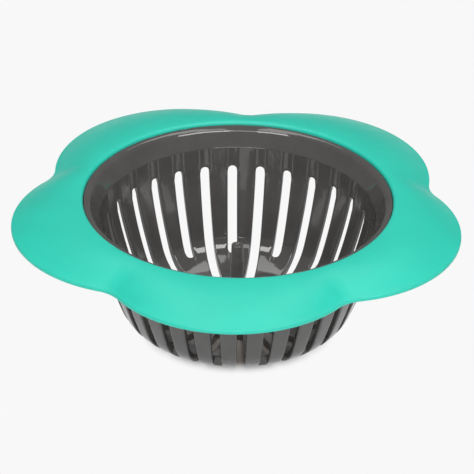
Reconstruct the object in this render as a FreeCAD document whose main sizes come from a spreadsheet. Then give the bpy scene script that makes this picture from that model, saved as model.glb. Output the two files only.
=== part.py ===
"""Sink strainer: a slotted drain basket with a soft five-petal rim that pulls off upwards."""

import FreeCAD, Part
import math
import os

import Sketcher

# Driving sizes in millimetres, degrees or counts
SIZES = {
    # Basket, measured from its underside and its axis
    "basket_height": 35.45,
    "throat_radius": 34.95,
    "throat_depth": 4.3,
    "throat_round": 0.8,
    "funnel_width": 4.05,
    "lip_height": 2.0,
    "lip_land": 0.3,
    "lip_round": 1.9,
    "flange_width": 3.5,
    "flange_thickness": 1.4,
    "wall_thickness": 1.45,
    "wall_bow_radius": 95.0,
    "wall_lean": 8.0,
    "floor_thickness": 2.0,
    "inner_corner_radius": 11.0,
    "outer_corner_radius": 11.5,
    # Centre post, standing on the basket floor
    "post_height": 20.8,
    "post_base_diameter": 3.7,
    "post_top_diameter": 3.0,
    "post_root_round": 1.0,
    "dimple_diameter": 1.6,
    "dimple_depth": 0.3,
    # Slots, in pairs of one that crosses the floor and one that stops in the corner
    "slot_pairs": 15,
    "slot_width": 2.35,
    "slot_drop": 5.05,
    "long_slot_start": 9.0,
    "short_slot_inset": 8.95,
    "slot_overrun": 1.0,
    # Turn of the basket in the rim, past a quarter of the pitch between long slots
    "basket_turn": -0.65,
    # Soft rim
    "petal_count": 5,
    "petal_reach": 15.43,
    "petal_round": 33.18,
    "notch_round": 9.2,
    "petal_edge_thickness": 1.2,
    "petal_edge_chamfer": 0.35,
    "rim_rise": 4.5,
    "crown_step": 0.85,
    "crown_land": 0.8,
    "crown_chamfer": 0.5,
    "seal_width": 2.0,
    "bore_clearance": 0.15,
    "flange_clearance": 0.3,
}

# Heights and radii that several features share
THROAT_HEIGHT = "(Sizes.basket_height - Sizes.throat_depth)"
WALL_LEAN = "(Sizes.wall_lean * 1 deg)"
LIP_RADIUS = "(Sizes.throat_radius + Sizes.funnel_width)"
FLANGE_RADIUS = f"({LIP_RADIUS} + Sizes.flange_width)"
FLANGE_TOP = "(Sizes.basket_height - Sizes.lip_height)"
FLANGE_UNDER = f"({FLANGE_TOP} - Sizes.flange_thickness)"
WALL_CENTRE_X = f"(Sizes.throat_radius - Sizes.wall_bow_radius * cos({WALL_LEAN}))"
WALL_CENTRE_Z = f"({THROAT_HEIGHT} + Sizes.wall_bow_radius * sin({WALL_LEAN}))"
POST_TOP = "(Sizes.floor_thickness + Sizes.post_height)"
SLOT_TOP = f"({THROAT_HEIGHT} - Sizes.slot_drop)"
SHORT_SLOT_START = "(Sizes.throat_radius - Sizes.short_slot_inset)"
SLOT_TURN = f"({SHORT_SLOT_START} + Sizes.slot_width / 2)"
CROWN_HEIGHT = "(Sizes.basket_height + Sizes.crown_step)"
PETAL_TOP = f"({CROWN_HEIGHT} - Sizes.rim_rise)"
PETAL_UNDER = f"({PETAL_TOP} - Sizes.petal_edge_thickness)"
BORE_RADIUS = f"({LIP_RADIUS} + Sizes.bore_clearance)"
REBATE_RADIUS = f"({FLANGE_RADIUS} + Sizes.flange_clearance)"
PETAL_OFFSET = f"({FLANGE_RADIUS} + Sizes.petal_reach - Sizes.petal_round)"

# Points of a sketch edge, the ways along it and the sketch's own origin
START, END, CENTRE = range(1, 4)
FORWARD = (START, END)
BACKWARD = (END, START)
ORIGIN = (-1, START)
UP = FreeCAD.Vector(0, 0, 1)
FIT = 1e-4

doc = FreeCAD.newDocument("SinkStrainer")


def make_sheet():
    """Write every driving size into a cell with an alias."""
    sheet = doc.addObject("Spreadsheet::Sheet", "Sizes")
    for row, (name, value) in enumerate(SIZES.items(), start=1):
        sheet.set(f"A{row}", name)
        sheet.set(f"B{row}", str(value))
        sheet.setAlias(f"B{row}", name)
    doc.recompute()
    return sheet


def value(expression):
    """Work out an expression on the sheet as a plain number."""
    result = sheet.evalExpression(expression.replace("Sizes.", ""))
    return getattr(result, "Value", result)


def origin_feature(body, role):
    """Find one of a body's own origin planes or axes."""
    return next(item for item in body.Origin.OriginFeatures if item.Role == role)


def new_sketch(body, name, role, offset=None, turn=None):
    """Attach a sketch to an origin plane, shifted along the plane's normal and turned about it."""
    sketch = body.newObject("Sketcher::SketchObject", name)
    sketch.AttachmentSupport = (origin_feature(body, role), [""])
    sketch.MapMode = "FlatFace"
    if turn:
        sketch.AttachmentOffset = FreeCAD.Placement(FreeCAD.Vector(), FreeCAD.Rotation(UP, value(turn)))
        sketch.setExpression("AttachmentOffset.Rotation.Angle", turn)
    if offset:
        sketch.setExpression("AttachmentOffset.Base.z", offset)
    return sketch


def line(start, end):
    """A straight sketch edge between two points given as pairs."""
    return Part.LineSegment(FreeCAD.Vector(*start, 0), FreeCAD.Vector(*end, 0))


def arc(centre, radius, start, end):
    """A sketch arc that runs anticlockwise between two angles in degrees."""
    circle = Part.Circle(FreeCAD.Vector(*centre, 0), UP, radius)
    return Part.ArcOfCircle(circle, math.radians(start), math.radians(end))


def drive(sketch, name, kind, places, expression):
    """Add a named dimension and bind it to the sheet."""
    index = sketch.addConstraint(Sketcher.Constraint(kind, *places, value(expression)))
    sketch.renameConstraint(index, name)
    sketch.setExpression("Constraints." + name, expression)


def relate(sketch, kind, *groups):
    """Add the same kind of relation to several groups of sketch elements."""
    for group in groups:
        sketch.addConstraint(Sketcher.Constraint(kind, *group))


def basket_edges():
    """Edges of the half section in order: name, geometry, way it runs, whether it flows on smoothly."""
    centre_x, centre_z = value(WALL_CENTRE_X), value(WALL_CENTRE_Z)
    centre = (centre_x, centre_z)
    inner, outer = value("wall_bow_radius"), value("wall_bow_radius + wall_thickness")
    outer_round, inner_round = value("outer_corner_radius"), value("inner_corner_radius")
    lip_round, throat_round = value("lip_round"), value("throat_round")
    height, lip, flange = value("basket_height"), value(LIP_RADIUS), value(FLANGE_RADIUS)
    under, top, floor = value(FLANGE_UNDER), value(FLANGE_TOP), value("floor_thickness")
    post_top, post_round = value(POST_TOP), value("post_root_round")
    base, tip = value("post_base_diameter / 2"), value("post_top_diameter / 2")
    dimple, dimple_floor = value("dimple_diameter / 2"), post_top - value("dimple_depth")

    def touching(wall, radius, level):
        """Centre of an arc that touches the wall arc and a level, and the angle where it meets the wall."""
        rise = level + radius - centre_z
        across = math.sqrt((wall - radius) ** 2 - rise ** 2)
        return (centre_x + across, level + radius), math.degrees(math.atan2(rise, across))

    outer_corner, outer_join = touching(outer, outer_round, 0)
    inner_corner, inner_join = touching(inner, inner_round, floor)
    root_join = math.asin((under - centre_z) / outer)
    root_x = centre_x + outer * math.cos(root_join)
    throat = (value("throat_radius"), value(THROAT_HEIGHT))
    lip_start = (lip - value("lip_land"), height)
    lip_centre = (lip_start[0], height - lip_round)
    slope = math.atan2(lip_centre[1] - throat[1], lip_centre[0] - throat[0])
    slope += math.asin(lip_round / math.dist(throat, lip_centre))
    funnel_top = (lip_centre[0] - lip_round * math.sin(slope),
                  lip_centre[1] + lip_round * math.cos(slope))
    lean = math.radians(value("wall_lean"))
    bend = (math.pi / 2 - slope - lean) / 2
    throat_reach = throat_round / math.cos(bend)
    throat_centre = (throat[0] + throat_reach * math.cos(lean + bend),
                     throat[1] - throat_reach * math.sin(lean + bend))
    funnel_foot = (throat[0] + throat_round * math.tan(bend) * math.cos(slope),
                   throat[1] + throat_round * math.tan(bend) * math.sin(slope))
    funnel_turn, wall_turn = 90 + math.degrees(slope), 180 - math.degrees(lean)

    root_centre = (base + post_round, floor + post_round)
    return (
        ("underside", line((0, 0), (outer_corner[0], 0)), FORWARD, True),
        ("outer_corner", arc(outer_corner, outer_round, -90, outer_join), FORWARD, True),
        ("outer_wall", arc(centre, outer, outer_join, math.degrees(root_join)), FORWARD, False),
        ("flange_under", line((root_x, under), (flange, under)), FORWARD, False),
        ("flange_edge", line((flange, under), (flange, top)), FORWARD, False),
        ("flange_top", line((flange, top), (lip, top)), FORWARD, False),
        ("lip_side", line((lip, top), (lip, height)), FORWARD, False),
        ("lip_top", line((lip, height), lip_start), FORWARD, True),
        ("lip_arc", arc(lip_centre, lip_round, 90, funnel_turn), FORWARD, True),
        ("funnel", line(funnel_top, funnel_foot), FORWARD, True),
        ("throat", arc(throat_centre, throat_round, funnel_turn, wall_turn), FORWARD, True),
        ("inner_wall", arc(centre, inner, inner_join, -math.degrees(lean)), BACKWARD, True),
        ("inner_corner", arc(inner_corner, inner_round, -90, inner_join), BACKWARD, True),
        ("floor", line((inner_corner[0], floor), (root_centre[0], floor)), FORWARD, True),
        ("post_root", arc(root_centre, post_round, 180, 270), BACKWARD, True),
        ("post_side", line((base, root_centre[1]), (tip, post_top)), FORWARD, False),
        ("post_top", line((tip, post_top), (dimple, post_top)), FORWARD, False),
        ("dimple_side", line((dimple, post_top), (dimple, dimple_floor)), FORWARD, False),
        ("dimple_floor", line((dimple, dimple_floor), (0, dimple_floor)), FORWARD, False),
        ("axis", line((0, dimple_floor), (0, 0)), FORWARD, False),
    )


def basket_profile(body):
    """Half section of the moulding: underside, wall, flange, lip, funnel, bowl, floor and post."""
    sketch = new_sketch(body, "BasketProfile", "XZ_Plane")
    edges = basket_edges()
    place = {}
    for name, geometry, _, _ in edges:
        place[name] = sketch.addGeometry(geometry, False)
    for (name, _, way, flows), (following, _, next_way, _) in zip(edges, edges[1:] + edges[:1]):
        kind = "Tangent" if flows else "Coincident"
        relate(sketch, kind, (place[name], way[1], place[following], next_way[0]))
    relate(sketch, "Coincident", (place["underside"], START) + ORIGIN,
           (place["outer_wall"], CENTRE, place["inner_wall"], CENTRE))
    level = ("underside", "flange_under", "flange_top", "lip_top", "floor", "post_top", "dimple_floor")
    for name in level:
        relate(sketch, "Horizontal", (place[name],))
    for name in ("flange_edge", "lip_side", "dimple_side", "axis"):
        relate(sketch, "Vertical", (place[name],))

    def drive_radius(name, expression):
        """Set an arc's radius."""
        drive(sketch, name + "_radius", "Radius", (place[name],), expression)

    def drive_across(name, end, expression):
        """Set how far a point lies from the axis."""
        drive(sketch, name + "_across", "DistanceX", ORIGIN + (place[name], end), expression)

    def drive_height(name, end, expression):
        """Set how far a point lies above the underside."""
        drive(sketch, name + "_height", "DistanceY", ORIGIN + (place[name], end), expression)

    def drive_corner(name, side, across, height):
        """Aim a side at the sharp corner that its rounding takes off."""
        corner = Part.Point(FreeCAD.Vector(value(across), value(height), 0))
        place[name] = sketch.addGeometry(corner, True)
        drive_across(name, START, across)
        drive_height(name, START, height)
        relate(sketch, "PointOnObject", (place[name], START, place[side]))

    drive_radius("outer_corner", "Sizes.outer_corner_radius")
    drive_radius("inner_corner", "Sizes.inner_corner_radius")
    drive_radius("outer_wall", "Sizes.wall_bow_radius + Sizes.wall_thickness")
    drive_radius("inner_wall", "Sizes.wall_bow_radius")
    drive_radius("lip_arc", "Sizes.lip_round")
    drive_radius("throat", "Sizes.throat_round")
    drive_radius("post_root", "Sizes.post_root_round")
    drive_across("inner_wall", CENTRE, WALL_CENTRE_X)
    drive_height("inner_wall", CENTRE, WALL_CENTRE_Z)
    drive_corner("throat_corner", "funnel", "Sizes.throat_radius", THROAT_HEIGHT)
    drive_height("floor", END, "Sizes.floor_thickness")
    drive_across("flange_edge", START, FLANGE_RADIUS)
    drive_height("flange_under", END, FLANGE_UNDER)
    drive_height("flange_top", START, FLANGE_TOP)
    drive_across("lip_side", START, LIP_RADIUS)
    drive_height("lip_top", START, "Sizes.basket_height")
    drive_across("lip_top", END, f"{LIP_RADIUS} - Sizes.lip_land")
    drive_corner("post_foot", "post_side", "Sizes.post_base_diameter / 2", "Sizes.floor_thickness")
    drive_across("post_top", START, "Sizes.post_top_diameter / 2")
    drive_height("post_top", START, POST_TOP)
    drive_across("dimple_side", END, "Sizes.dimple_diameter / 2")
    drive_height("dimple_floor", START, POST_TOP + " - Sizes.dimple_depth")
    return sketch


def ring_edges(feature, *rings):
    """Names of a feature's round edges with the given radii and heights."""
    found = []
    for radius, height in rings:
        for index, item in enumerate(feature.Shape.Edges, start=1):
            curve = item.Curve
            if not isinstance(curve, Part.Circle):
                continue
            if abs(curve.Radius - radius) < FIT and abs(curve.Center.z - height) < FIT:
                found.append(f"Edge{index}")
    if len(found) < len(rings):
        raise RuntimeError(f"{feature.Name}: an edge to break is missing")
    return found


def chamfer(body, name, feature, rings, size):
    """Break some round edges of the body's last feature."""
    broken = body.newObject("PartDesign::Chamfer", name)
    broken.Base = (feature, ring_edges(feature, *rings))
    broken.setExpression("Size", size)
    doc.recompute()
    return broken


def slot_sketch(body, name, role, offset, foot, tip, turn=None):
    """A slot with a square foot and a round tip, along the sketch's vertical axis."""
    sketch = new_sketch(body, name, role, offset, turn)
    half, low, high = value("slot_width / 2"), value(foot), value(tip)
    sketch.addGeometry([
        line((-half, low), (half, low)),
        line((half, low), (half, high - half)),
        arc((0, high - half), half, 0, 180),
        line((-half, high - half), (-half, low)),
    ], False)
    foot_edge, right, tip_arc, left = range(sketch.GeometryCount)
    relate(sketch, "Coincident", (foot_edge, END, right, START), (left, END, foot_edge, START))
    relate(sketch, "Tangent", (right, END, tip_arc, START), (tip_arc, END, left, START))
    relate(sketch, "Horizontal", (foot_edge,))
    relate(sketch, "Vertical", (right,), (left,), ORIGIN + (tip_arc, CENTRE))
    drive(sketch, "slot_width", "Radius", (tip_arc,), "Sizes.slot_width / 2")
    drive(sketch, "slot_foot", "DistanceY", ORIGIN + (foot_edge, START), foot)
    drive(sketch, "slot_tip", "DistanceY", ORIGIN + (tip_arc, CENTRE), f"{tip} - Sizes.slot_width / 2")
    return sketch


def cut_all_round(body, name, sketch, length, count):
    """Cut a pocket along the sketch's normal and repeat it round the axis."""
    before = body.Shape.Volume
    pocket = body.newObject("PartDesign::Pocket", name)
    pocket.Profile = sketch
    pocket.Reversed = True
    pocket.setExpression("Length", length)
    doc.recompute()
    after = pocket.Shape.Volume
    if not after < before:
        raise RuntimeError(f"{name} cuts nothing")
    pattern = body.newObject("PartDesign::PolarPattern", name + "Ring")
    pattern.Originals = [pocket]
    pattern.Axis = (origin_feature(body, "Z_Axis"), [""])
    pattern.Angle = 360
    pattern.setExpression("Occurrences", count)
    body.Tip = pattern
    doc.recompute()
    if not pattern.Shape.Volume < after:
        raise RuntimeError(f"{name} is not repeated")


def make_basket():
    """Turn the moulding and cut the slots in its wall and in its floor."""
    body = doc.addObject("PartDesign::Body", "Basket")
    body.Label = "basket"
    profile = basket_profile(body)
    doc.recompute()
    turned = body.newObject("PartDesign::Revolution", "Moulding")
    turned.Profile = profile
    turned.ReferenceAxis = (profile, ["V_Axis"])
    turned.Angle = 360
    doc.recompute()

    below = "-Sizes.slot_overrun"
    floor_end = f"-({SLOT_TURN} + Sizes.slot_width)"
    half_pitch = "180 deg / Sizes.slot_pairs"
    wall_slot = slot_sketch(body, "WallSlot", "XZ_Plane", SLOT_TURN, below, SLOT_TOP)
    cut_all_round(body, "WallCut", wall_slot, FLANGE_RADIUS, "2 * Sizes.slot_pairs")
    long_slot = slot_sketch(body, "LongSlot", "XY_Plane", below, floor_end, "-Sizes.long_slot_start")
    cut_all_round(body, "LongCut", long_slot, "Sizes.basket_height", "Sizes.slot_pairs")
    short_start = "-" + SHORT_SLOT_START
    short_slot = slot_sketch(body, "ShortSlot", "XY_Plane", below, floor_end, short_start, half_pitch)
    cut_all_round(body, "ShortCut", short_slot, "Sizes.basket_height", "Sizes.slot_pairs")

    turn = "90 deg / Sizes.slot_pairs + Sizes.basket_turn * 1 deg"
    body.Placement = FreeCAD.Placement(FreeCAD.Vector(), FreeCAD.Rotation(UP, value(turn)))
    body.setExpression("Placement.Rotation.Angle", turn)
    return body


def petal_sketch(body, name, height, inset):
    """Petal outline: one arc for each petal and a smaller one, curved the other way, in each notch."""
    sketch = new_sketch(body, name, "XY_Plane", height)
    count, offset = int(value("petal_count")), value(PETAL_OFFSET)
    petal, notch = value(f"petal_round - {inset}"), value(f"notch_round + {inset}")
    half = math.pi / count
    ahead, aside = offset * math.cos(half), offset * math.sin(half)
    notch_reach = ahead + math.sqrt((petal + notch) ** 2 - aside ** 2)
    spread = math.atan2(notch_reach * math.sin(half), notch_reach * math.cos(half) - offset)
    spread, pitch = math.degrees(spread), 360 / count
    for index in range(count):
        turn = index * pitch - 90
        way, notch_way = math.radians(turn), math.radians(turn) + half
        centre = (offset * math.cos(way), offset * math.sin(way))
        notch_centre = (notch_reach * math.cos(notch_way), notch_reach * math.sin(notch_way))
        notch_turn = turn + pitch + 180
        sketch.addGeometry([
            arc(centre, petal, turn - spread, turn + spread),
            arc(notch_centre, notch, notch_turn - spread, turn + 180 + spread),
        ], False)
    for index in range(count):
        lobe, hollow, following = 2 * index, 2 * index + 1, 2 * (index + 1) % (2 * count)
        relate(sketch, "Tangent", (lobe, END, hollow, END), (hollow, START, following, START))
    for index in range(count):
        lobe, hollow = 2 * index, 2 * index + 1
        way = f"({index} * 360 deg / Sizes.petal_count - 90 deg)"
        places = ORIGIN + (lobe, CENTRE)
        drive(sketch, f"petal_{index}_across", "DistanceX", places, f"{PETAL_OFFSET} * cos({way})")
        drive(sketch, f"petal_{index}_away", "DistanceY", places, f"{PETAL_OFFSET} * sin({way})")
        drive(sketch, f"petal_{index}_radius", "Radius", (lobe,), f"Sizes.petal_round - {inset}")
        drive(sketch, f"notch_{index}_radius", "Radius", (hollow,), f"Sizes.notch_round + {inset}")
    return sketch


def circle_sketch(body, name, height, radius):
    """A circle about the axis."""
    sketch = new_sketch(body, name, "XY_Plane", height)
    circle = sketch.addGeometry(Part.Circle(FreeCAD.Vector(), UP, value(radius)), False)
    relate(sketch, "Coincident", (circle, CENTRE) + ORIGIN)
    drive(sketch, "radius", "Radius", (circle,), radius)
    return sketch


def loft(body, kind, name, profile, section):
    """A straight-sided loft between two sketches."""
    feature = body.newObject(kind, name)
    feature.Profile = profile
    feature.Sections = [section]
    feature.Ruled = True
    doc.recompute()
    return feature


def make_rim():
    """Loft the petals up to the crown, hollow the underside, bore the middle and break the edges."""
    body = doc.addObject("PartDesign::Body", "PetalRim")
    body.Label = "petal_rim"
    outline = petal_sketch(body, "PetalOutline", PETAL_UNDER, "0")
    edge = body.newObject("PartDesign::Pad", "PetalEdge")
    edge.Profile = outline
    edge.setExpression("Length", "Sizes.petal_edge_thickness")
    doc.recompute()
    petal, notch = value("petal_round"), value("notch_round")
    top, under = value(PETAL_TOP), value(PETAL_UNDER)
    rings = ((petal, top), (notch, top), (petal, under), (notch, under))
    chamfer(body, "PetalChamfer", edge, rings, "Sizes.petal_edge_chamfer")
    top_outline = petal_sketch(body, "PetalTop", PETAL_TOP, "Sizes.petal_edge_chamfer")
    crown = circle_sketch(body, "Crown", CROWN_HEIGHT, f"{BORE_RADIUS} + Sizes.crown_land")
    loft(body, "PartDesign::AdditiveLoft", "PetalSlope", top_outline, crown)
    seal = petal_sketch(body, "SealOutline", PETAL_UNDER, "Sizes.seal_width")
    seat = circle_sketch(body, "Seat", FLANGE_TOP, REBATE_RADIUS)
    loft(body, "PartDesign::SubtractiveLoft", "Hollow", seal, seat)
    bore = body.newObject("PartDesign::Pocket", "Bore")
    bore.Profile = circle_sketch(body, "BoreCircle", CROWN_HEIGHT, BORE_RADIUS)
    bore.setExpression("Length", "Sizes.basket_height")
    doc.recompute()
    crown_edge = (value(BORE_RADIUS), value(CROWN_HEIGHT))
    chamfer(body, "CrownChamfer", bore, (crown_edge,), "Sizes.crown_chamfer")
    return body


def check(bodies):
    """Stop if anything in the document failed or a piece isn't one valid solid."""
    failed = [item.Name for item in doc.Objects if {"Invalid", "Error"} & set(item.State)]
    if failed:
        raise RuntimeError(f"failed features: {failed}")
    for body in bodies:
        shape = body.Shape
        if shape.isNull() or not shape.isValid() or len(shape.Solids) != 1:
            raise RuntimeError(f"{body.Label} is not one valid solid")


sheet = make_sheet()
pieces = [make_basket(), make_rim()]
doc.recompute()
check(pieces)
os.makedirs("parts", exist_ok=True)
for piece in pieces:
    piece.Shape.exportStep(f"parts/{piece.Label}.step")
    print(piece.Label, round(piece.Shape.Volume, 1), piece.Shape.BoundBox)
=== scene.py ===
"""Flower-shaped sink strainer: a glossy slotted basket and a soft petal rim in a pale studio."""

import math
from bisect import bisect

import bmesh
import bpy
from bpy.props import FloatProperty, FloatVectorProperty, IntProperty, PointerProperty
from mathutils import Matrix, Vector


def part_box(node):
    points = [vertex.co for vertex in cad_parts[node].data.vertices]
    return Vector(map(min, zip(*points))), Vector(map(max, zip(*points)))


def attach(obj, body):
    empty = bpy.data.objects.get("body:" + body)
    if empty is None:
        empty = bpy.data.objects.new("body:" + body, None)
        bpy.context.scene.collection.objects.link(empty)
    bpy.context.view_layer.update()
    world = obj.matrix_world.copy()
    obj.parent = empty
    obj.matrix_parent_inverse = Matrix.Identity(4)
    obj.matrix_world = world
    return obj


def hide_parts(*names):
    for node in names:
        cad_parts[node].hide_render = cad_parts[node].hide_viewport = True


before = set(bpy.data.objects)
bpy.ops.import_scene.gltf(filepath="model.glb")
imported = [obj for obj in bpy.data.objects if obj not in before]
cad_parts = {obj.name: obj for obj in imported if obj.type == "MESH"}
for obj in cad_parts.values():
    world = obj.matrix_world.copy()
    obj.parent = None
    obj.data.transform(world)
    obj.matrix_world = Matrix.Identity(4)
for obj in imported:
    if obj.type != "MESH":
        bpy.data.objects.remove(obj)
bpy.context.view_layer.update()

bl_info = {
    "name": "Sink Strainer",
    "version": (1, 0, 0),
    "blender": (4, 5, 0),
    "location": "3D View > Sidebar > Strainer",
    "description": "Dresses a flower-shaped sink strainer and sets up its studio",
    "category": "Object",
}

BASKET_LOW, BASKET_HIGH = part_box("basket")
RIM_LOW, RIM_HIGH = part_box("petal_rim")
UP = Vector((0, 0, 1))
MM = 0.001
# Points closer than this are one
MERGE = MM / 200
# Plain edges that bend by more than this stay sharp
SHARP = math.radians(40)
QUARTER_STEPS = 4
# Values of a noise at its dark and its light spots
NOISE_RANGE = (0.3, 0.7)
TONE_DETAIL = 3
FINE_DETAIL = 2
SENSOR_WIDTH = 36
CLIP_START = 0.1
FLOOR_HALF = 3
# Soft boxes: name, place, point they face, length and width, brightness, whether gloss mirrors them
LAMPS = (
    ("left box", (-0.215, 0.2, 0.95), (0, 0.2, 0), (1.0, 0.23), 2.8, True),
    ("right box", (0.225, 0.2, 0.95), (0, 0.2, 0), (1.0, 0.23), 2.8, True),
    ("left bank", (-0.33, -0.66, 0.87), (0, 0, 0), (0.42, 0.3), 7.5, True),
    ("middle bank", (0.045, -0.73, 0.87), (0, 0, 0), (0.36, 0.3), 2.8, True),
    ("right bank", (0.42, -0.6, 0.87), (0, 0, 0), (0.6, 0.3), 7.5, True),
    ("front fill", (0.05, -1.13, 0.41), (0, 0, 0), (0.8, 0.2), 5.5, True),
    ("right fill", (1.0, -0.1, 0.6), (0, 0, 0), (0.5, 0.5), 1.6, False),
    ("left fill", (-1.0, -0.1, 0.6), (0, 0, 0), (0.5, 0.5), 1.0, False),
)


def length(name, description, millimetres):
    """A size in a group of settings."""
    return FloatProperty(name=name, description=description, unit="LENGTH", default=millimetres * MM)


def angle(name, description, degrees):
    """An angle in a group of settings."""
    return FloatProperty(name=name, description=description, subtype="ANGLE", default=math.radians(degrees))


def factor(name, description, value):
    """A setting between 0 and 1."""
    return FloatProperty(name=name, description=description, subtype="FACTOR", min=0, max=1, default=value)


def amount(name, description, value):
    """A plain number from 0 upwards."""
    return FloatProperty(name=name, description=description, min=0, default=value)


def paint(name, description, value):
    """A colour in a group of settings."""
    return FloatVectorProperty(
        name=name, description=description, subtype="COLOR", size=3, min=0, max=1, default=value)


class StrainerBasketSettings(bpy.types.PropertyGroup):
    """Sizes and finish of the hard basket."""

    throat_radius: length("Throat", "Radius of the bowl's mouth", 34.95)
    throat_depth: length("Throat depth", "From the lip down to the bowl's mouth", 4.3)
    throat_round: length("Throat round", "Rounding where the funnel meets the wall", 0.8)
    funnel_width: length("Funnel width", "From the bowl's mouth out to the lip's side", 4.05)
    lip_height: length("Lip height", "From the flange up to the lip", 2.0)
    lip_land: length("Lip land", "Flat top of the lip", 0.3)
    lip_round: length("Lip round", "Rounding of the lip", 1.9)
    flange_thickness: length("Flange", "Thickness of the flange under the rim", 1.4)
    wall_thickness: length("Wall", "Thickness of the bowl's wall", 1.45)
    wall_bow: length("Wall bow", "Radius of the wall's curve from top to bottom", 95)
    wall_lean: angle("Wall lean", "Lean of the wall at the bowl's mouth", 8)
    floor_thickness: length("Floor", "Thickness of the bowl's floor", 2.0)
    inner_corner: length("Inner corner", "Rounding between floor and wall", 11)
    outer_corner: length("Outer corner", "Rounding between underside and wall", 11.5)
    hub_radius: length("Hub", "Radius of the plain middle of the underside", 4.0)
    post_height: length("Post height", "From the floor to the top of the post", 20.8)
    post_base: length("Post base", "Radius of the post at its foot", 1.85)
    post_top: length("Post top", "Radius of the post at its top", 1.5)
    post_root: length("Post root", "Rounding at the foot of the post", 1.0)
    post_round: length("Post round", "Rounding at the top of the post", 0.25)
    dimple_radius: length("Dimple", "Radius of the dimple in the top of the post", 0.8)
    dimple_depth: length("Dimple depth", "Depth of the dimple in the top of the post", 0.3)
    slot_pairs: IntProperty(
        name="Slot pairs", description="Long slots, each with a short one", min=3, default=15)
    slot_width: length("Slot width", "Width of every slot", 2.35)
    slot_drop: length("Slot drop", "From the bowl's mouth down to the slots", 5.05)
    long_slot: length("Long slot", "From the axis to the inner end of a long slot", 9.0)
    short_slot: length("Short slot", "From the axis to the inner end of a short slot", 26.0)
    calm: length("Slot end", "Surface that follows the round end of a slot", 4.0)
    bar_margin: length("Bar margin", "Strip beside a slot that its rounding takes up", 0.8)
    bar_round: length("Bar round", "Rounding of the bars' edges", 0.5)
    floor_share: factor("Floor share", "Rounding of the floor's slots, as a share of the bars'", 0.5)
    turn: angle("Turn", "From the petal in front to the nearest long slot", 5.35)
    colour: paint("Plastic", "Colour of the dark plastic", (0.080, 0.0755, 0.0735))
    tone_spread: factor("Tone spread", "How far the colour drifts to either side", 0.08)
    tone_grain: amount("Tone grain", "Fineness of the drift in colour", 140)
    specular: factor("Specular", "Strength of the plastic's reflections", 0.68)
    roughness: factor("Roughness", "Blur of the plastic's reflections", 0.06)
    gloss_spread: factor("Gloss spread", "How far the roughness drifts to either side", 0.02)
    gloss_grain: amount("Gloss grain", "Fineness of the drift in roughness", 320)
    skin_height: length("Skin height", "Height of the surface's fine waves", 0.005)
    skin_grain: amount("Skin grain", "Fineness of the surface's waves", 900)


class StrainerRimSettings(bpy.types.PropertyGroup):
    """Sizes and finish of the soft petal rim."""

    petals: IntProperty(name="Petals", description="Petals round the rim", min=3, default=5)
    petal_round: length("Petal round", "Radius of a petal's outline", 33.18)
    notch_round: length("Notch round", "Radius of the outline between petals", 9.2)
    crease_round: length("Crease round", "Radius of the valley between petals", 1.5)
    crease_reach: factor("Crease reach", "Where the outline has become the crease, from edge to crown", 1 / 3)
    edge_round: length("Edge round", "Rounding of the petals' edges", 0.4)
    rise: length("Rise", "From the petals' upper edge to the crown", 4.5)
    bore_radius: length("Bore", "Radius of the hole for the basket's lip", 39.15)
    crown_round: length("Crown round", "Rounding between the crown and the bore", 0.8)
    seat_depth: length("Seat depth", "From the crown down to the flange", 2.85)
    seat_width: length("Seat width", "From the bore out to the flange's edge", 3.65)
    seal_width: length("Seal width", "Flat land under the petals' edges", 2.0)
    colour: paint("Soft plastic", "Colour of the soft rim", (0.024, 0.585, 0.447))
    tone_spread: factor("Tone spread", "How far the colour drifts to either side", 0.03)
    tone_grain: amount("Tone grain", "Fineness of the drift in colour", 90)
    specular: factor("Specular", "Strength of the rim's reflections", 0.45)
    roughness: factor("Roughness", "Blur of the rim's reflections", 0.42)
    gloss_spread: factor("Gloss spread", "How far the roughness drifts to either side", 0.04)
    gloss_grain: amount("Gloss grain", "Fineness of the drift in roughness", 400)
    skin_height: length("Skin height", "Height of the surface's fine waves", 0.012)
    skin_grain: amount("Skin grain", "Fineness of the surface's waves", 2500)


class StrainerStageSettings(bpy.types.PropertyGroup):
    """Camera, floor and light."""

    azimuth: angle("Azimuth", "Camera's angle round the strainer", 2.76)
    elevation: angle("Elevation", "Camera's angle above the floor", 30.2)
    roll: angle("Roll", "Turn of the camera about its own line of sight", 0.82)
    distance: length("Distance", "From the camera to the strainer", 2000)
    lens: FloatProperty(
        name="Lens", description="Focal length for a 36 mm wide sensor", unit="CAMERA", default=600.8)
    aim: FloatVectorProperty(
        name="Aim", description="Point in the middle of the picture", subtype="TRANSLATION", size=3,
        default=(-0.00009, -0.00068, 0.0253))
    paper: paint("Paper", "Colour of the floor and backdrop", (0.939, 0.939, 0.939))
    # Painted shade: a dark colour the floor takes near the basket's foot, on top of the lamps' real shadow
    # there
    painted_shade: paint("Shade", "Colour of the floor close to the basket's foot", (0.26, 0.23, 0.21))
    # The painted shade is full inside the shade radius, fades out by the clear radius and fades towards shade
    # back behind the axis; where it has faded, the floor glows white for the camera and gloss, also where the
    # basket really shades it
    shade_radius: length("Shade radius", "Floor round the axis that shows its full shadow", 19.5)
    clear_radius: length("Clear radius", "Where the shadow on the floor has faded out", 26.5)
    shade_back: length("Shade back", "How far behind the axis the shadow reaches", 6)
    surround: amount("Surround", "Strength of the light from all round", 0.1)
    backdrop: amount("Backdrop", "Brightness of what gloss mirrors all round", 0.25)


def add_node(tree, kind, *sources, **values):
    """A node with sources linked to its first sockets, and with other sockets and settings filled in."""
    node = tree.nodes.new(kind)
    for source, socket in zip(sources, node.inputs):
        tree.links.new(source, socket)
    for name, value in values.items():
        socket = node.inputs.get(name.replace("_", " ").title())
        if socket is None:
            setattr(node, name, value)
        elif isinstance(value, bpy.types.NodeSocket):
            tree.links.new(value, socket)
        else:
            socket.default_value = value
    return node


def larger(tree, one, other):
    """The larger of two values in a node tree."""
    return add_node(tree, "ShaderNodeMath", one, other, operation="MAXIMUM").outputs["Value"]


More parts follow.
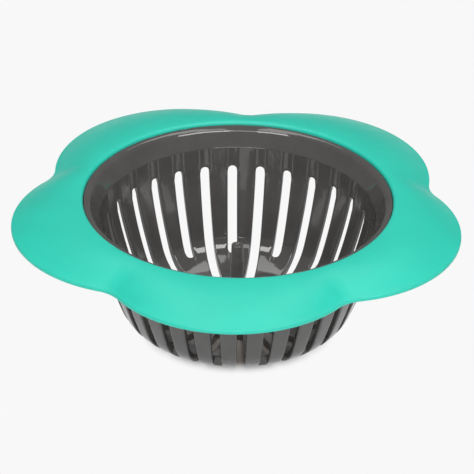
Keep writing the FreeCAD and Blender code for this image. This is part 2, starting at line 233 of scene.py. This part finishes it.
def seen_directly(tree):
    """1 for rays from the camera and for those that gloss or clear material sends on, else 0."""
    path = add_node(tree, "ShaderNodeLightPath").outputs
    sent_on = larger(tree, path["Is Glossy Ray"], path["Is Transmission Ray"])
    return larger(tree, path["Is Camera Ray"], sent_on)


def moulded_plastic(name, settings):
    """Plastic whose colour and gloss drift a little, with fine waves in its skin."""
    material = bpy.data.materials.new(name)
    material.use_nodes = True
    tree = material.node_tree
    shader = tree.nodes["Principled BSDF"]
    shader.inputs["Base Color"].default_value = (*settings.colour, 1)
    shader.inputs["Specular IOR Level"].default_value = settings.specular
    place = add_node(tree, "ShaderNodeTexCoord").outputs["Object"]

    def noise(grain, detail):
        """Noise in the piece's own coordinates."""
        return add_node(tree, "ShaderNodeTexNoise", place, scale=grain, detail=detail).outputs["Fac"]

    tone = add_node(tree, "ShaderNodeValToRGB", noise(settings.tone_grain, TONE_DETAIL))
    spread = settings.tone_spread
    for spot, position, strength in zip(tone.color_ramp.elements, NOISE_RANGE, (1 - spread, 1 + spread)):
        spot.position = position
        spot.color = (*(part * strength for part in settings.colour), 1)
    dark, light = NOISE_RANGE
    gloss = add_node(
        tree, "ShaderNodeMapRange", noise(settings.gloss_grain, FINE_DETAIL), from_min=dark, from_max=light,
        to_min=settings.roughness - settings.gloss_spread, to_max=settings.roughness + settings.gloss_spread)
    waves = noise(settings.skin_grain, FINE_DETAIL)
    skin = add_node(tree, "ShaderNodeBump", strength=1, distance=settings.skin_height, height=waves)
    tree.links.new(tone.outputs["Color"], shader.inputs["Base Color"])
    tree.links.new(gloss.outputs["Result"], shader.inputs["Roughness"])
    tree.links.new(skin.outputs["Normal"], shader.inputs["Normal"])
    return material


def finish_piece(name, bm, material):
    """Turn a bmesh into an object at the origin, with smooth faces."""
    bmesh.ops.recalc_face_normals(bm, faces=bm.faces)
    mesh = bpy.data.meshes.new(name)
    bm.to_mesh(mesh)
    bm.free()
    mesh.materials.append(material)
    mesh.polygons.foreach_set("use_smooth", [True] * len(mesh.polygons))
    piece = bpy.data.objects.new(name, mesh)
    bpy.context.scene.collection.objects.link(piece)
    return piece


def basket_section(settings):
    """Rows of the half section, from under the hub round the lip to the post's top, and where slots end."""
    low, high = BASKET_LOW.z, BASKET_HIGH.z
    lean, bow = settings.wall_lean, settings.wall_bow
    throat = Vector((settings.throat_radius, high - settings.throat_depth))
    wall = throat + bow * Vector((-math.cos(lean), math.sin(lean)))
    outer = bow + settings.wall_thickness
    floor = low + settings.floor_thickness
    flange = BASKET_HIGH.x
    flange_top = high - settings.lip_height
    flange_under = flange_top - settings.flange_thickness
    half = settings.slot_width / 2
    long_turn, short_turn = settings.long_slot + half, settings.short_slot + half
    top_turn = throat.y - settings.slot_drop - half
    rows, marks = [Vector((settings.hub_radius, low))], {}

    def mark(name):
        """Remember the last row."""
        marks[name] = len(rows) - 1

    def line(across, height, steps):
        """Go straight on to a point."""
        start, end = rows[-1], Vector((across, height))
        rows.extend(start.lerp(end, step / steps) for step in range(1, steps + 1))

    def arc(centre, end, steps):
        """Swing about a centre to the direction given by an angle."""
        spoke = rows[-1] - centre
        turn = math.remainder(end - math.atan2(spoke.y, spoke.x), math.tau)
        for step in range(1, steps + 1):
            rows.append(centre + Matrix.Rotation(turn * step / steps, 2) @ spoke)

    def corner(wall_radius, radius, level):
        """Centre of a rounding between a level and the wall, and the angle where it meets the wall."""
        rise = level + radius - wall.y
        centre = Vector((wall.x + math.sqrt((wall_radius - radius) ** 2 - rise ** 2), level + radius))
        return centre, math.atan2(rise, centre.x - wall.x)

    # Underside and outside of the wall
    outer_corner, outer_join = corner(outer, settings.outer_corner, low)
    line(long_turn, low, steps=4)
    mark("long_under")
    line(outer_corner.x, low, steps=5)
    arc(outer_corner, -math.acos((short_turn - outer_corner.x) / settings.outer_corner), steps=4)
    mark("short_under")
    arc(outer_corner, outer_join, steps=3)
    arc(wall, math.asin((top_turn - wall.y) / outer), steps=9)
    mark("top_outside")
    arc(wall, math.asin((flange_under - wall.y) / outer), steps=5)

    # Flange, lip, funnel and throat
    line(flange, flange_under, steps=2)
    line(flange, flange_top, steps=1)
    lip = settings.throat_radius + settings.funnel_width
    line(lip, flange_top, steps=2)
    line(lip, high, steps=2)
    lip_centre = Vector((lip - settings.lip_land, high - settings.lip_round))
    line(lip_centre.x, high, steps=1)
    reach = lip_centre - throat
    slope = math.atan2(reach.y, reach.x) + math.asin(settings.lip_round / reach.length)
    arc(lip_centre, slope + math.pi / 2, steps=7)
    bend = (math.pi / 2 - slope - lean) / 2
    foot = throat + settings.throat_round * math.tan(bend) * Vector((math.cos(slope), math.sin(slope)))
    line(foot.x, foot.y, steps=3)
    inward = settings.throat_round / math.cos(bend)
    throat_centre = throat + inward * Vector((math.cos(lean + bend), -math.sin(lean + bend)))
    arc(throat_centre, math.pi - lean, steps=5)

    # Inside of the wall and floor
    inner_corner, inner_join = corner(bow, settings.inner_corner, floor)
    arc(wall, math.asin((top_turn - wall.y) / bow), steps=5)
    mark("top_inside")
    arc(wall, inner_join, steps=9)
    arc(inner_corner, -math.acos((short_turn - inner_corner.x) / settings.inner_corner), steps=3)
    mark("short_floor")
    arc(inner_corner, -math.pi / 2, steps=4)
    line(long_turn, floor, steps=5)
    mark("long_floor")

    # Post
    base, tip, top = settings.post_base, settings.post_top, floor + settings.post_height
    root, tip_round, dimple = settings.post_root, settings.post_round, settings.dimple_radius
    line(base + root, floor, steps=4)
    arc(Vector((base + root, floor + root)), math.pi, QUARTER_STEPS)
    line(tip, top - tip_round, steps=4)
    arc(Vector((tip - tip_round, top - tip_round)), math.pi / 2, QUARTER_STEPS)
    line(dimple, top, steps=1)
    line(dimple / 2, top - settings.dimple_depth, steps=2)
    return rows, marks


def basket_sector(bm, settings):
    """Half the pitch between two long slots, with both slots cut, and the rounding of each slot's edges."""
    rows, marks = basket_section(settings)
    run = [0]
    for previous, following in zip(rows, rows[1:]):
        run.append(run[-1] + (following - previous).length)
    half, pitch = settings.slot_width / 2, math.pi / settings.slot_pairs
    # Half a slot at either side and three strips of the bar between them
    tip_steps, bar_strips = QUARTER_STEPS, 3
    columns = 2 * tip_steps + bar_strips
    # Rows where slots end, the way on into the solid, and the sides of the grid that have such a slot
    solid_ends = (
        (marks["long_under"], -1, (0,)), (marks["short_under"], -1, (columns,)),
        (marks["top_outside"], 1, (0, columns)), (marks["top_inside"], -1, (0, columns)),
        (marks["short_floor"], 1, (columns,)), (marks["long_floor"], 1, (0,)),
    )

    def point(distance):
        """The section's point at a distance along its rows."""
        index = min(max(bisect(run, distance) - 1, 0), len(rows) - 2)
        share = (distance - run[index]) / (run[index + 1] - run[index])
        return rows[index].lerp(rows[index + 1], share)

    def bent(row, side, swing):
        """A row's point on a slot's column, shifted where the slot has its round end."""
        distance = run[row]
        for end, way, sides in solid_ends:
            beyond = (run[row] - run[end]) * way
            if side in sides and 0 <= beyond < settings.calm:
                distance += way * half * math.cos(swing) * (1 - beyond / settings.calm)
        return point(distance)

    def long_edge(radius, swing=math.pi / 2):
        """Angle from a long slot's middle to its side, or to a point of its round end."""
        return math.asin(half * math.sin(swing) / max(radius, settings.long_slot))

    def short_edge(radius, swing=math.pi / 2):
        """The same for a short slot, measured from the long slot's middle."""
        spread = math.asin(half * math.sin(swing) / max(radius, settings.short_slot))
        return pitch - spread * min(1, radius / settings.short_slot)

    def place(row, column):
        """Where a grid point lies on the basket."""
        flat = rows[row]
        if column <= tip_steps:
            swing = math.pi / 2 * column / tip_steps
            flat = bent(row, 0, swing)
            around = long_edge(flat.x, swing)
        elif column >= columns - tip_steps:
            swing = math.pi / 2 * (columns - column) / tip_steps
            flat = bent(row, columns, swing)
            around = short_edge(flat.x, swing)
        else:
            left, right = long_edge(flat.x), short_edge(flat.x)
            margin = min(settings.bar_margin / flat.x, (right - left) / bar_strips)
            around = left + margin if column == tip_steps + 1 else right - margin
        return Vector((flat.x * math.sin(around), -flat.x * math.cos(around), flat.y))

    bmesh.ops.create_grid(bm, x_segments=columns, y_segments=len(rows) - 1, size=1)
    bm.verts.ensure_lookup_table()
    width = columns + 1
    grid = [bm.verts[row * width:(row + 1) * width] for row in range(len(rows))]
    for row, line in enumerate(grid):
        for column, vert in enumerate(line):
            vert.co = place(row, column)

    weight = bm.edges.layers.float.new("bevel_weight_edge")
    long_columns, short_columns = slice(0, tip_steps + 1), slice(columns - tip_steps, width)
    for across, under, above in (
        (long_columns, ("long_under", "top_outside"), ("top_inside", "long_floor")),
        (short_columns, ("short_under", "top_outside"), ("top_inside", "short_floor")),
    ):
        rim = []
        for first, last in (under, above):
            lines = grid[marks[first]:marks[last] + 1]
            block = {vert for line in lines for vert in line[across]}
            cut = [face for face in bm.faces if block.issuperset(face.verts)]
            bmesh.ops.delete(bm, geom=cut, context="FACES_KEEP_BOUNDARY")
            block = {vert for vert in block if vert.is_valid}
            rim += [edge for edge in bm.edges if edge.is_boundary and block.issuperset(edge.verts)]
        for edge in rim:
            height = sum(vert.co.z for vert in edge.verts) / 2
            edge[weight] = min(1, max(settings.floor_share, height / settings.outer_corner))
        bmesh.ops.bridge_loops(bm, edges=rim)
    return weight


def petal_outline(settings, notch_round):
    """Points of the petals' outline in order, each with its outward direction."""
    half = math.pi / settings.petals
    tip_radius = -RIM_LOW.y
    offset = tip_radius - settings.petal_round
    reach = settings.petal_round + notch_round
    notch_reach = offset * math.cos(half) + math.sqrt(reach ** 2 - (offset * math.sin(half)) ** 2)
    notch_centre = Vector((notch_reach * math.sin(half), -notch_reach * math.cos(half), 0))
    petal_centre = Vector((0, -offset, 0))
    across = notch_centre - petal_centre
    spread = math.atan2(across.x, -across.y)

    bm = bmesh.new()
    tip = bm.verts.new((0, -tip_radius, 0))
    arc = bmesh.ops.spin(bm, geom=[tip], cent=petal_centre, axis=UP, angle=spread, steps=18)
    join = next(item for item in arc["geom_last"] if isinstance(item, bmesh.types.BMVert))
    bmesh.ops.spin(bm, geom=[join], cent=notch_centre, axis=-UP, angle=spread - half, steps=6)
    bmesh.ops.mirror(bm, geom=bm.verts[:] + bm.edges[:], axis="X", merge_dist=MERGE)
    bmesh.ops.spin(
        bm, geom=bm.verts[:] + bm.edges[:], cent=(0, 0, 0), axis=UP, angle=math.tau,
        steps=settings.petals, use_duplicate=True)
    bmesh.ops.remove_doubles(bm, verts=bm.verts, dist=MERGE)
    first = min(bm.verts, key=lambda vert: (vert.co - Vector((0, -tip_radius, 0))).length)
    points, edge = [first], max(first.link_edges, key=lambda item: item.other_vert(first).co.x)
    while edge.other_vert(points[-1]) is not first:
        points.append(edge.other_vert(points[-1]))
        edge = next(item for item in points[-1].link_edges if item is not edge)
    points = [vert.co.copy() for vert in points]
    bm.free()
    ways = [
        (following - previous).cross(UP).normalized()
        for previous, following in zip(points[-1:] + points[:-1], points[1:] + points[:1])
    ]
    return list(zip(points, ways))


class STRAINER_OT_basket(bpy.types.Operator):
    """Model the slotted basket with its post and round the edges of its bars"""

    bl_idname = "strainer.basket"
    bl_label = "Basket"

    def execute(self, context):
        settings = context.scene.strainer_basket
        bm = bmesh.new()
        weight = basket_sector(bm, settings)
        bmesh.ops.mirror(bm, geom=bm.verts[:] + bm.edges[:] + bm.faces[:], axis="X", merge_dist=MERGE)
        more = settings.slot_pairs - 1
        bmesh.ops.spin(
            bm, geom=bm.verts[:] + bm.edges[:] + bm.faces[:], cent=(0, 0, 0), axis=UP,
            angle=math.tau * more / settings.slot_pairs, steps=more, use_duplicate=True)
        bmesh.ops.remove_doubles(bm, verts=bm.verts, dist=MERGE)
        bmesh.ops.holes_fill(bm, edges=[edge for edge in bm.edges if edge.is_boundary], sides=0)
        bmesh.ops.rotate(bm, verts=bm.verts, matrix=Matrix.Rotation(settings.turn, 3, "Z"))
        for edge in bm.edges:
            edge.smooth = edge[weight] > 0 or edge.calc_face_angle(0) < SHARP
        piece = finish_piece("slotted_basket", bm, moulded_plastic("basket plastic", settings))
        rounding = piece.modifiers.new("bar edges", "BEVEL")
        rounding.limit_method = "WEIGHT"
        rounding.width = settings.bar_round
        rounding.segments = 3
        rounding.use_clamp_overlap = False
        normals = piece.modifiers.new("normals", "WEIGHTED_NORMAL")
        normals.keep_sharp = True
        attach(piece, "basket_body")
        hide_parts("basket")
        return {"FINISHED"}


class STRAINER_OT_petal_rim(bpy.types.Operator):
    """Model the soft rim with its petals and lay it on the basket's flange"""

    bl_idname = "strainer.petal_rim"
    bl_label = "Petal rim"

    def execute(self, context):
        settings = context.scene.strainer_rim
        bm = bmesh.new()
        rings = self.rings(settings)
        bmesh.ops.create_circle(bm, segments=len(rings[0]), radius=1)
        bm.verts.ensure_lookup_table()
        ring, edges = bm.verts[:], bm.edges[:]
        for place in rings:
            for vert, point in zip(ring, place):
                vert.co = point
            if place is rings[-1]:
                break
            made = bmesh.ops.extrude_edge_only(bm, edges=edges)["geom"]
            edges = [item for item in made if isinstance(item, bmesh.types.BMEdge)]
            fresh = {item for item in made if isinstance(item, bmesh.types.BMVert)}
            ring = [next(e.other_vert(v) for e in v.link_edges if e.other_vert(v) in fresh) for v in ring]
        bmesh.ops.bridge_loops(bm, edges=[edge for edge in bm.edges if edge.is_boundary])
        piece = finish_piece("soft_petal_rim", bm, moulded_plastic("rim soft plastic", settings))
        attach(piece, "rim_body")
        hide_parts("petal_rim")
        return {"FINISHED"}

    def rings(self, settings):
        """Rings of the rim in order: up its edge, over the petals, down the bore and back underneath."""
        crown, under = RIM_HIGH.z, RIM_LOW.z
        petal_top, seat = crown - settings.rise, crown - settings.seat_depth
        edge_round, crown_round, bore = settings.edge_round, settings.crown_round, settings.bore_radius
        outline = petal_outline(settings, settings.notch_round)
        crease = petal_outline(settings, settings.crease_round)
        turns = [math.pi / 2 * step / QUARTER_STEPS for step in range(QUARTER_STEPS + 1)]
        quarter = [(math.sin(turn), math.cos(turn)) for turn in turns]
        dome_steps, hollow_steps = 14, 8

        def petals(inset, height, line=outline):
            """A ring that follows the petals' outline."""
            return [point - way * inset + UP * height for point, way in line]

        def round_about(radius, height):
            """A ring about the axis."""
            return [point.normalized() * radius + UP * height for point, way in outline]

        def between(low, high, share):
            """A ring part of the way from one to another."""
            return [a.lerp(b, share) for a, b in zip(low, high)]

        def level(ring, height):
            """A ring with all its points at one height."""
            return [Vector((point.x, point.y, height)) for point in ring]

        rings = []
        for sine, cosine in quarter:
            rings.append(petals(edge_round * (1 - cosine), petal_top - edge_round * (1 - sine)))
        edge, valley = rings[-1], petals(edge_round, petal_top, crease)
        crest = round_about(bore + crown_round, crown)
        for step in range(1, dome_steps + 1):
            share = step / dome_steps
            petal = between(edge, valley, min(1, share / settings.crease_reach))
            rings.append(level(between(petal, crest, share), crown - settings.rise * (1 - share) ** 2))
        for sine, cosine in quarter[1:]:
            rings.append(round_about(bore + crown_round * (1 - sine), crown - crown_round * (1 - cosine)))
        rings.append(round_about(bore, seat))
        rings.append(round_about(bore + settings.seat_width, seat))
        hollow, sole = rings[-1], petals(settings.seal_width, under)
        for step in range(1, hollow_steps + 1):
            share = step / hollow_steps
            rings.append(level(between(hollow, sole, share), seat - (seat - under) * share ** 2))
        for sine, cosine in quarter:
            rings.append(petals(edge_round * (1 - sine), under + edge_round * (1 - cosine)))
        return rings


class STRAINER_OT_stage(bpy.types.Operator):
    """Lay the floor and set the camera, the lamps and the backdrop"""

    bl_idname = "strainer.stage"
    bl_label = "Stage"

    def execute(self, context):
        settings = context.scene.strainer_stage
        scene = context.scene
        scene.view_settings.view_transform = "Standard"
        self.set_camera(scene, settings)
        self.lay_floor(settings)
        self.set_surround(scene, settings)
        self.hang_lamps(scene)
        return {"FINISHED"}

    def set_camera(self, scene, settings):
        """Look at the strainer along a long lens, from its front at azimuth 0."""
        data = bpy.data.cameras.new("camera")
        data.sensor_width = SENSOR_WIDTH
        data.lens = settings.lens
        data.clip_start = CLIP_START
        camera = bpy.data.objects.new("camera", data)
        scene.collection.objects.link(camera)
        azimuth, flat = settings.azimuth, math.cos(settings.elevation)
        back = Vector((math.sin(azimuth) * flat, -math.cos(azimuth) * flat, math.sin(settings.elevation)))
        turn = back.to_track_quat("Z", "Y").to_matrix().to_4x4()
        place = Matrix.Translation(Vector(settings.aim) + back * settings.distance)
        camera.matrix_world = place @ turn @ Matrix.Rotation(settings.roll, 4, "Z")
        scene.camera = camera

    def lay_floor(self, settings):
        """White paper that a painted shade darkens at the basket's foot, on top of the real shadow there;
        farther out and behind the axis it glows white for the camera and gloss.
        """
        material = bpy.data.materials.new("paper")
        material.use_nodes = True
        tree = material.node_tree
        tree.nodes.clear()
        place = add_node(tree, "ShaderNodeTexCoord").outputs["Object"]
        away = add_node(tree, "ShaderNodeVectorMath", place, operation="LENGTH")
        parts = add_node(tree, "ShaderNodeSeparateXYZ", place)
        beyond = add_node(
            tree, "ShaderNodeMapRange", away.outputs["Value"], interpolation_type="SMOOTHSTEP",
            from_min=settings.shade_radius, from_max=settings.clear_radius)
        behind = add_node(
            tree, "ShaderNodeMapRange", parts.outputs["Y"], interpolation_type="SMOOTHSTEP",
            from_max=settings.shade_back)
        clear = larger(tree, beyond.outputs["Result"], behind.outputs["Result"])
        # Painted shade: the paper's colour runs from the dark painted shade at the foot to plain paper where
        # the floor is clear
        tone = add_node(tree, "ShaderNodeValToRGB", clear)
        for spot, colour in zip(tone.color_ramp.elements, (settings.painted_shade, settings.paper)):
            spot.color = (*colour, 1)
        paper = add_node(tree, "ShaderNodeBsdfDiffuse", tone.outputs["Color"])
        glow = add_node(tree, "ShaderNodeEmission", color=(*settings.paper, 1), strength=1)
        share = add_node(tree, "ShaderNodeMath", clear, seen_directly(tree), operation="MULTIPLY")
        mix = add_node(
            tree, "ShaderNodeMixShader", share.outputs["Value"], paper.outputs["BSDF"],
            glow.outputs["Emission"])
        add_node(tree, "ShaderNodeOutputMaterial", mix.outputs["Shader"])
        bm = bmesh.new()
        bmesh.ops.create_grid(bm, x_segments=1, y_segments=1, size=FLOOR_HALF)
        floor = finish_piece("floor", bm, material)

    def set_surround(self, scene, settings):
        """A surround that the camera sees white, gloss less bright and everything else as faint light."""
        world = bpy.data.worlds.new("surround")
        world.use_nodes = True
        tree = world.node_tree
        tree.nodes.clear()
        strength = add_node(
            tree, "ShaderNodeMapRange", seen_directly(tree), to_min=settings.surround,
            to_max=settings.backdrop)
        camera_ray = add_node(tree, "ShaderNodeLightPath").outputs["Is Camera Ray"]
        white = larger(tree, strength.outputs["Result"], camera_ray)
        glow = add_node(tree, "ShaderNodeBackground", color=(*settings.paper, 1), strength=white)
        add_node(tree, "ShaderNodeOutputWorld", glow.outputs["Background"])
        scene.world = world

    def hang_lamps(self, scene):
        """Strips overhead, banks and a fill in front, and fills at the sides."""
        for name, place, aim, size, brightness, mirrored in LAMPS:
            data = bpy.data.lights.new(name, "AREA")
            data.shape = "RECTANGLE"
            data.size, data.size_y = size
            data.energy = brightness * math.pi * data.size * data.size_y
            lamp = bpy.data.objects.new(name, data)
            lamp.location = place
            lamp.rotation_euler = (Vector(place) - Vector(aim)).to_track_quat("Z", "Y").to_euler()
            lamp.visible_glossy = mirrored
            scene.collection.objects.link(lamp)


class STRAINER_PT_panel(bpy.types.Panel):
    """Pieces of the strainer and its stage"""

    bl_idname = "STRAINER_PT_panel"
    bl_label = "Sink Strainer"
    bl_space_type = "VIEW_3D"
    bl_region_type = "UI"
    bl_category = "Strainer"

    def draw(self, context):
        for operator, (name, group) in zip(OPERATORS, SETTINGS.items()):
            box = self.layout.box()
            for setting in group.__annotations__:
                box.prop(getattr(context.scene, name), setting)
            box.operator(operator.bl_idname)


SETTINGS = {
    "strainer_basket": StrainerBasketSettings,
    "strainer_rim": StrainerRimSettings,
    "strainer_stage": StrainerStageSettings,
}
OPERATORS = (STRAINER_OT_basket, STRAINER_OT_petal_rim, STRAINER_OT_stage)
CLASSES = (*SETTINGS.values(), *OPERATORS, STRAINER_PT_panel)


def register():
    for item in CLASSES:
        bpy.utils.register_class(item)
    for name, group in SETTINGS.items():
        setattr(bpy.types.Scene, name, PointerProperty(type=group))


def unregister():
    for name in SETTINGS:
        delattr(bpy.types.Scene, name)
    for item in reversed(CLASSES):
        bpy.utils.unregister_class(item)


def main():
    """Build every piece in turn and set up the stage."""
    register()
    bpy.ops.strainer.basket()
    bpy.ops.strainer.petal_rim()
    bpy.ops.strainer.stage()


if __name__ == "__main__":
    main()
